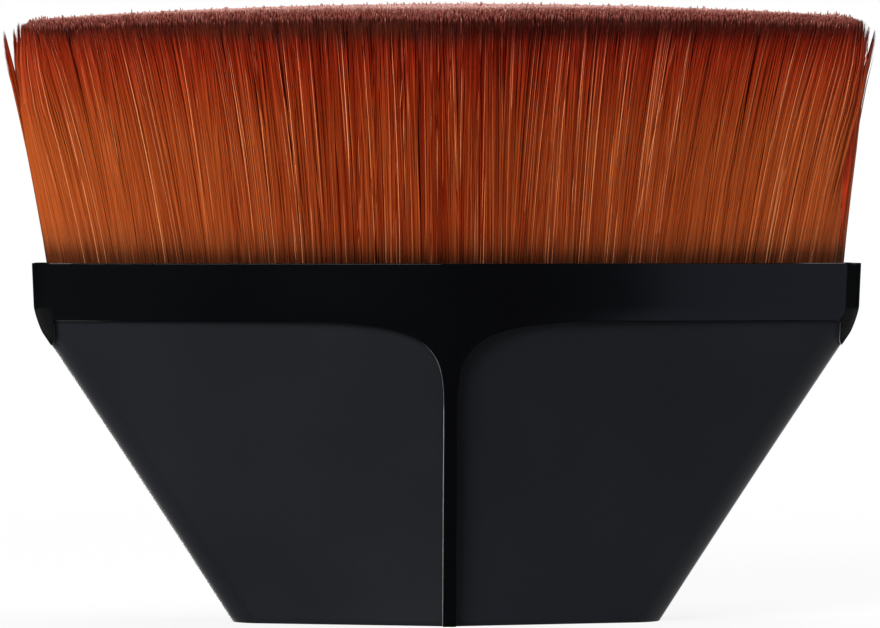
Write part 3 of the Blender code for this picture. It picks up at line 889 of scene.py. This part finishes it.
def tip_fibres(material):
    """The blunt upper ends of the fibres all over the head, packed side by side."""
    rng = np.random.default_rng(seed=23)
    width = ROOT_HALF_WIDTH + TIP_FLARE
    across = ROOT_HALF_DEPTH + TIP_FLARE
    grid = np.meshgrid(np.arange(-width, width, TIP_SPACING), np.arange(-across, across, TIP_SPACING))
    tip = np.stack(grid, axis=2).reshape(-1, 2)
    tip += rng.uniform(-0.5, 0.5, tip.shape) * TIP_SPACING
    tip = tip[inside_head(tip) > TIP_FIBRE_INSET]
    count = len(tip)
    inside = inside_head(tip)
    tip[:, 0] = drawn_in(tip[:, 0])
    slope = TIP_FLARE / (TIP_HEIGHT - ROOT_HEIGHT) * TIP_FIBRE_LENGTH
    foot = tip * (1 - slope / np.array([width, across]))
    end = np.clip(1 - (width - END_TRIM_LEFT - np.abs(tip[:, 0])) / SHARP_END_RUN, 0, 1)
    top = tip_surface(tip, inside) - rng.exponential(MIDDLE_JITTER, count).clip(0, MIDDLE_JITTER_LIMIT)
    top -= END_DROP_SHARE * END_TIP_JITTER * end**2
    tall = rng.uniform(0, 1, count) < TALL_SHARE
    top += tall * (rng.exponential(TALL_REACH, count) * (1 + END_TALL_GAIN * end)).clip(0, TALLEST)
    paths = np.stack([np.column_stack([foot, top - TIP_FIBRE_LENGTH]), np.column_stack([tip, top])], axis=1)
    paths[:, :, 0] -= TIP_LEAN_LEFT
    thick = FIBRE_RADIUS * rng.uniform(*TIP_THICKNESS_SHARES, count)
    radii = thick[:, None] * np.array(TIP_TAPER_SHARES)[None, :]
    # Painted light: only the tips further in reach the lighter top of their colours
    reach = LIT_TOP_REACH_AT_EDGE + (1 - LIT_TOP_REACH_AT_EDGE) * np.clip(inside / (2 * TIP_EDGE_RUN), 0, 1)
    along = reach[:, None] * np.array([0.0, 1.0])[None, :]
    tone = np.clip(rng.exponential(TIP_TONE_SPREAD, count) + TIP_TONE_LOW, 0, TONE_LIMIT)
    upward = np.tile((0.0, 0.0, 1.0), (count, 1))
    fibre = one_fibre(1, BLUNT_END)
    for name, here in quarters(tip):
        plant_fibres(
            f"tip_fibres_{name}", fibre, paths[here], radii[here], along[here], tone[here], upward[here],
            material,
        )
    bpy.data.objects.remove(fibre)


def fibre_core(material):
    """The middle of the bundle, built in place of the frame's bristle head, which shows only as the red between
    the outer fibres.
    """
    low = [a - CORE_INSET for a in (ROOT_HALF_WIDTH, ROOT_HALF_DEPTH, ROOT_END_HALF_DEPTH)]
    high = [a + TIP_FLARE for a in low]
    core = hexagon_block("fibre_core", [(*high, TIP_HEIGHT), (*low, ROOT_HEIGHT)])
    only(core)
    bpy.ops.object.mode_set(mode="EDIT")
    for axis, reach in enumerate(high[:2]):
        for step in range(-int(reach / CORE_CELL), int(reach / CORE_CELL) + 1):
            way = Vector((0, 0, 0))
            way[axis] = 1
            bpy.ops.mesh.select_all(action="SELECT")
            bpy.ops.mesh.bisect(plane_co=way * (step + 0.5) * CORE_CELL, plane_no=way)
    bpy.ops.mesh.select_all(action="SELECT")
    trim_height = ROOT_HEIGHT + END_TRIM_START * (TIP_HEIGHT - ROOT_HEIGHT)
    bpy.ops.mesh.bisect(plane_co=(0, 0, trim_height), plane_no=(0, 0, 1))
    bpy.ops.object.mode_set(mode="OBJECT")
    place = np.array([v.co for v in core.data.vertices])
    share = height_share(place[:, 2])
    trim = np.clip((share - END_TRIM_START) / (1 - END_TRIM_START), 0, 1)
    place[:, 0] += (drawn_in(place[:, 0]) - place[:, 0]) * trim
    place[:, 2] = np.minimum(place[:, 2], tip_surface(place, inside_head(place)) - CORE_TOP_DROP)
    place[:, 0] -= leaned_left(share)
    core.data.vertices.foreach_set("co", place.reshape(-1))
    core.data.update()
    core.data.materials.append(material)
    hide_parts("bristle_head")
    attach(core, "root")


def polished_black_abs():
    """Black ABS from a polished mould: near black, with a mirror gloss that a faint waviness softens."""
    material, tree, shader = new_material("polished_black_abs")
    place = add_node(tree, "ShaderNodeTexCoord").outputs["Object"]
    waves = add_node(
        tree, "ShaderNodeTexNoise", inputs={"Scale": 1 / SINK_WAVE, "Detail": 2.0}, links={"Vector": place}
    ).outputs["Fac"]
    rough = add_node(
        tree, "ShaderNodeMapRange", inputs={"To Min": 0.05, "To Max": 0.12}, links={"Value": waves}
    )
    colour = add_node(
        tree, "ShaderNodeValToRGB", links={"Fac": waves}, stops=[(0.3, "#040405"), (0.7, "#050607")]
    )
    ripple = add_node(
        tree,
        "ShaderNodeTexNoise",
        inputs={"Scale": 1 / POLISH_RIPPLE, "Detail": 1.0},
        links={"Vector": place},
    ).outputs["Fac"]
    bump = add_node(
        tree, "ShaderNodeBump", inputs={"Strength": 0.03, "Distance": 0.05 * MM}, links={"Height": ripple}
    )
    tree.links.new(colour.outputs["Color"], shader.inputs["Base Color"])
    tree.links.new(rough.outputs["Result"], shader.inputs["Roughness"])
    tree.links.new(bump.outputs["Normal"], shader.inputs["Normal"])
    shader.inputs["IOR"].default_value = 1.5
    return material


def satin_black_abs():
    """The same ABS where the mould was finely blasted: a soft even sheen that reads a shade lighter."""
    material, tree, shader = new_material("satin_black_abs")
    place = add_node(tree, "ShaderNodeTexCoord").outputs["Object"]
    drift = add_node(
        tree, "ShaderNodeTexNoise", inputs={"Scale": 1 / SINK_WAVE, "Detail": 2.0}, links={"Vector": place}
    ).outputs["Fac"]
    colour = add_node(
        tree, "ShaderNodeValToRGB", links={"Fac": drift}, stops=[(0.35, "#101217"), (0.65, "#12141a")]
    )
    rough = add_node(
        tree, "ShaderNodeMapRange", inputs={"To Min": 0.3, "To Max": 0.38}, links={"Value": drift}
    )
    grain = add_node(
        tree, "ShaderNodeTexNoise", inputs={"Scale": 1 / BLAST_GRAIN, "Detail": 1.0}, links={"Vector": place}
    ).outputs["Fac"]
    bump = add_node(
        tree, "ShaderNodeBump", inputs={"Strength": 0.05, "Distance": 0.02 * MM}, links={"Height": grain}
    )
    tree.links.new(colour.outputs["Color"], shader.inputs["Base Color"])
    tree.links.new(rough.outputs["Result"], shader.inputs["Roughness"])
    tree.links.new(bump.outputs["Normal"], shader.inputs["Normal"])
    shader.inputs["IOR"].default_value = 1.5
    shader.inputs["Sheen Weight"].default_value = 0.8
    shader.inputs["Sheen Roughness"].default_value = 0.3
    return material


def dyed_filament(name, darkest, brightest, highlit_stops):
    """Nylon filament dyed orange brown, its tip dipped dark: a silky sheen, and a tone for each fibre that also
    carries painted light, shade and highlights.
    """
    material, tree, shader = new_material(name)
    place = add_node(tree, "ShaderNodeUVMap", settings={"uv_map": "OFBake"})
    split = add_node(tree, "ShaderNodeSeparateXYZ", links={"Vector": place.outputs["UV"]})
    columns = add_node(
        tree,
        "ShaderNodeMath",
        settings={"operation": "MULTIPLY"},
        inputs={1: TINT_COLUMNS},
        links={0: split.outputs["X"]},
    )
    column = add_node(
        tree, "ShaderNodeMath", settings={"operation": "FLOOR"}, links={0: columns.outputs[0]}
    ).outputs[0]
    chance = add_node(
        tree, "ShaderNodeTexWhiteNoise", settings={"noise_dimensions": "1D"}, links={"W": column}
    )
    shift = add_node(
        tree,
        "ShaderNodeMath",
        settings={"operation": "MULTIPLY_ADD"},
        inputs={1: DIP_SCATTER, 2: -DIP_SCATTER / 2},
        links={0: chance.outputs["Value"]},
    )
    height = add_node(
        tree,
        "ShaderNodeMath",
        settings={"operation": "ADD"},
        links={0: split.outputs["Y"], 1: shift.outputs[0]},
    ).outputs[0]
    tone = add_node(
        tree,
        "ShaderNodeMath",
        settings={"operation": "DIVIDE"},
        inputs={1: TINT_COLUMNS},
        links={0: column},
    ).outputs[0]
    below = add_node(tree, "ShaderNodeValToRGB", links={"Fac": height}, stops=darkest).outputs["Color"]
    # Each fibre's tone mixes the darkest and the brightest colours, then the palest: painted light and shade
    # beside the real spread of tone
    for stops, low, high in ((brightest, 0.0, HIGHLIT_FROM), (highlit_stops, HIGHLIT_FROM, 1.0)):
        share = add_node(
            tree, "ShaderNodeMapRange", inputs={"From Min": low, "From Max": high}, links={"Value": tone}
        ).outputs["Result"]
        above = add_node(tree, "ShaderNodeValToRGB", links={"Fac": height}, stops=stops).outputs["Color"]
        mixed = add_node(
            tree, "ShaderNodeMix", settings={"data_type": "RGBA"}, links={0: share, 6: below, 7: above}
        )
        below = mixed.outputs[2]
    tree.links.new(below, shader.inputs["Base Color"])
    shader.inputs["Roughness"].default_value = 0.35
    shader.inputs["IOR"].default_value = 1.5
    shader.inputs["Specular IOR Level"].default_value = 0.2
    shader.inputs["Specular Tint"].default_value = hex_colour("#ff9860")
    return material


def packed_fibre():
    """The same filament deep in the bundle: a dull streaky red, because little light reaches it."""
    material, tree, shader = new_material("packed_fibre")
    place = add_node(tree, "ShaderNodeTexCoord").outputs["Object"]
    stretch = add_node(
        tree,
        "ShaderNodeMapping",
        inputs={"Scale": (1 / STREAK_WIDTH, 1 / STREAK_WIDTH, 1 / STREAK_LENGTH)},
        links={"Vector": place},
    ).outputs["Vector"]
    streaks = add_node(
        tree, "ShaderNodeTexNoise", inputs={"Scale": 1.0, "Detail": 2.0}, links={"Vector": stretch}
    ).outputs["Fac"]
    colour = add_node(
        tree, "ShaderNodeValToRGB", links={"Fac": streaks}, stops=[(0.35, "#6e1202"), (0.65, "#942606")]
    )
    split = add_node(tree, "ShaderNodeSeparateXYZ", links={"Vector": place})
    dipped = add_node(
        tree,
        "ShaderNodeMapRange",
        settings={"interpolation_type": "SMOOTHSTEP"},
        inputs={"From Min": TIP_HEIGHT - CORE_DIP_START, "From Max": TIP_HEIGHT - CORE_DIP_FULL},
        links={"Value": split.outputs["Z"]},
    )
    mixed = add_node(
        tree,
        "ShaderNodeMix",
        settings={"data_type": "RGBA"},
        inputs={7: hex_colour("#300808")},
        links={0: dipped.outputs["Result"], 6: colour.outputs["Color"]},
    )
    tree.links.new(mixed.outputs[2], shader.inputs["Base Color"])
    shader.inputs["Roughness"].default_value = 0.6
    shader.inputs["Specular IOR Level"].default_value = 0.1
    return material


def plain_inner(name, dark, light, roughness, grain):
    """A finish for a piece shut inside the handle, with a mottle of that grain."""
    material, tree, shader = new_material(name)
    place = add_node(tree, "ShaderNodeTexCoord").outputs["Object"]
    mottle = add_node(
        tree, "ShaderNodeTexNoise", inputs={"Scale": 1 / grain, "Detail": 3.0}, links={"Vector": place}
    ).outputs["Fac"]
    colour = add_node(tree, "ShaderNodeValToRGB", links={"Fac": mottle}, stops=[(0.3, dark), (0.7, light)])
    tree.links.new(colour.outputs["Color"], shader.inputs["Base Color"])
    shader.inputs["Roughness"].default_value = roughness
    return material


def dress_inner_pieces():
    """New finishes for the pieces that stay as the frame has them: matt ABS, cured resin and clear glue."""
    finishes = {
        "root_plate": plain_inner("matt_black_abs", "#16171a", "#1e1f22", roughness=0.5, grain=0.6 * MM),
        "resin_bed": plain_inner("amber_resin", "#5a3210", "#7a4a1c", roughness=0.25, grain=2.0 * MM),
        "plate_glue_bead": plain_inner("clear_glue", "#c8c2ae", "#dcd8c8", roughness=0.3, grain=1.0 * MM),
    }
    for name, finish in finishes.items():
        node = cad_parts[name]
        node.data.materials.clear()
        node.data.materials.append(finish)


def white_floor():
    """A matt pale floor that keeps the shadow of the object and turns to plain white further out."""
    material, tree, shader = new_material("matt_floor_paint")
    shader.inputs["Base Color"].default_value = hex_colour(FLOOR_COLOUR)
    shader.inputs["Roughness"].default_value = 0.9
    glow = add_node(tree, "ShaderNodeEmission", inputs={"Strength": FLOOR_GLOW})
    coords = add_node(tree, "ShaderNodeTexCoord")
    distance = add_node(
        tree, "ShaderNodeVectorMath", settings={"operation": "LENGTH"}, links={0: coords.outputs["Object"]}
    )
    fade = add_node(
        tree,
        "ShaderNodeMapRange",
        settings={"interpolation_type": "SMOOTHSTEP"},
        inputs={"From Min": SHADOW_NEAR, "From Max": SHADOW_FAR, "To Min": FLOOR_GLOW_SHARE, "To Max": 1.0},
        links={"Value": distance.outputs["Value"]},
    )
    path = add_node(tree, "ShaderNodeLightPath")
    share = add_node(
        tree,
        "ShaderNodeMath",
        settings={"operation": "MULTIPLY"},
        links={0: path.outputs["Is Camera Ray"], 1: fade.outputs["Result"]},
    )
    blend = add_node(
        tree, "ShaderNodeMixShader", links={0: share.outputs[0], 1: shader.outputs[0], 2: glow.outputs[0]}
    )
    tree.links.new(blend.outputs[0], tree.nodes["Material Output"].inputs["Surface"])
    return material


def studio():
    """A pale floor in a white surround, which gloss mirrors as a dark room with two low bright sides."""
    bpy.ops.mesh.primitive_circle_add(vertices=96, radius=FLOOR_RADIUS, fill_type="NGON")
    floor = bpy.context.object
    floor.name = "studio_floor"
    floor.data.materials.append(white_floor())
    floor.visible_glossy = False

    world = bpy.data.worlds.new("studio")
    bpy.context.scene.world = world
    world.use_nodes = True
    tree = world.node_tree
    surround = tree.nodes["Background"]
    surround.inputs["Color"].default_value = (1, 1, 1, 1)
    path = add_node(tree, "ShaderNodeLightPath")
    place = add_node(tree, "ShaderNodeTexCoord")
    split = add_node(tree, "ShaderNodeSeparateXYZ", links={"Vector": place.outputs["Generated"]})
    aside = add_node(
        tree, "ShaderNodeMath", settings={"operation": "ABSOLUTE"}, links={0: split.outputs["X"]}
    )
    sides = add_node(
        tree,
        "ShaderNodeMapRange",
        settings={"interpolation_type": "SMOOTHSTEP"},
        inputs={"From Min": SIDE_GLOW_START, "From Max": SIDE_GLOW_FULL, "To Max": SIDE_GLOW},
        links={"Value": aside.outputs[0]},
    )
    below = add_node(
        tree,
        "ShaderNodeMapRange",
        settings={"interpolation_type": "SMOOTHSTEP"},
        inputs={"From Min": LOW_GLOW_START, "From Max": LOW_GLOW_FULL},
        links={"Value": split.outputs["Z"]},
    )
    mirrored = add_node(
        tree,
        "ShaderNodeMath",
        settings={"operation": "MULTIPLY_ADD"},
        inputs={2: SURROUND_MIRRORED},
        links={0: sides.outputs["Result"], 1: below.outputs["Result"]},
    )
    strength = add_node(
        tree,
        "ShaderNodeMapRange",
        inputs={"To Min": SURROUND_LIGHT},
        links={"Value": path.outputs["Is Glossy Ray"], "To Max": mirrored.outputs[0]},
    )
    tree.links.new(strength.outputs["Result"], surround.inputs["Strength"])
    white = add_node(tree, "ShaderNodeBackground", inputs={"Color": (1, 1, 1, 1), "Strength": 1.0})
    blend = add_node(
        tree,
        "ShaderNodeMixShader",
        links={0: path.outputs["Is Camera Ray"], 1: surround.outputs[0], 2: white.outputs[0]},
    )
    tree.links.new(blend.outputs[0], tree.nodes["World Output"].inputs["Surface"])

    target = Vector((0, 0, LAMP_AIM_HEIGHT))
    for name, place, width, height, power, colour in LAMPS:
        light = bpy.data.lights.new(name, "AREA")
        light.shape = "RECTANGLE"
        light.size = width
        light.size_y = height
        light.energy = power
        light.color = hex_colour(colour)[:3]
        lamp = bpy.data.objects.new(name, light)
        bpy.context.scene.collection.objects.link(lamp)
        lamp.location = place
        lamp.rotation_euler = (target - Vector(place)).to_track_quat("-Z", "Y").to_euler()
        lamp.visible_camera = False


def camera():
    """At the photograph's angle: level with the collar, a little left of the front ridge."""
    data = bpy.data.cameras.new("camera")
    cam = bpy.data.objects.new("camera", data)
    bpy.context.scene.collection.objects.link(cam)
    cam.location = (-CAMERA_LEFT, -CAMERA_DISTANCE, CAMERA_HEIGHT)
    cam.rotation_euler = (Vector(CAMERA_AIM) - cam.location).to_track_quat("-Z", "Y").to_euler()
    data.sensor_width = SENSOR_WIDTH
    data.lens = SENSOR_WIDTH * CAMERA_DISTANCE / (PHOTO_WIDTH * MM)
    data.clip_start = CAMERA_NEAREST
    bpy.context.scene.camera = cam


def main():
    handle_moulding()
    fibre_core(packed_fibre())
    filament = dyed_filament("dyed_nylon_filament", SHADED_FIBRE, BRIGHT_FIBRE, HIGHLIT_FIBRE)
    side_fibres(filament)
    end_tufts(filament)
    tip_fibres(dyed_filament("dipped_filament_tip", SHADED_TIP, BRIGHT_TIP, HIGHLIT_TIP))
    dress_inner_pieces()
    studio()
    camera()
    bpy.context.scene.view_settings.view_transform = "Standard"


main()
